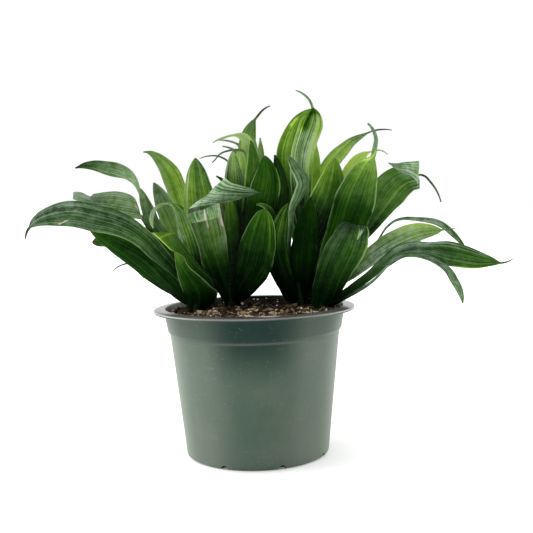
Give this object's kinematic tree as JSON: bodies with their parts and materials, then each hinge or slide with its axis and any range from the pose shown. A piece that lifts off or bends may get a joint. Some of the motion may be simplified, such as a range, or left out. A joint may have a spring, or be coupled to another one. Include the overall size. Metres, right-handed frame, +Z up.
{
  "type": "potted dracaena plant",
  "caption": "Potted dracaena: short leafy canes with broad arching blades, soil with bark, and a round tapered nursery pot with a flat lip.",
  "frame": {"origin": "middle of the pot's flat underside", "axes": "+Z up along the pot's axis, +X to the right of the plant as it is looked at, +Y away from the viewer"},
  "size_m": [0.3862, 0.2211, 0.301],
  "materials": {
    "pot": "moulded grey-green polypropylene, matte",
    "soil": "dark peat and bark chips with a little perlite",
    "leaf": "waxy green leaf with fine ridges and a pale margin"
  },
  "bodies": {
    "root": {"pot": "pot", "soil": "soil", "stem_left_front": "leaf", "stem_left_back": "leaf", "stem_centre_front": "leaf", "stem_centre_back": "leaf", "stem_right_front": "leaf", "stem_right_centre": "leaf", "stem_right_back": "leaf"}
  },
  "joints": []
}
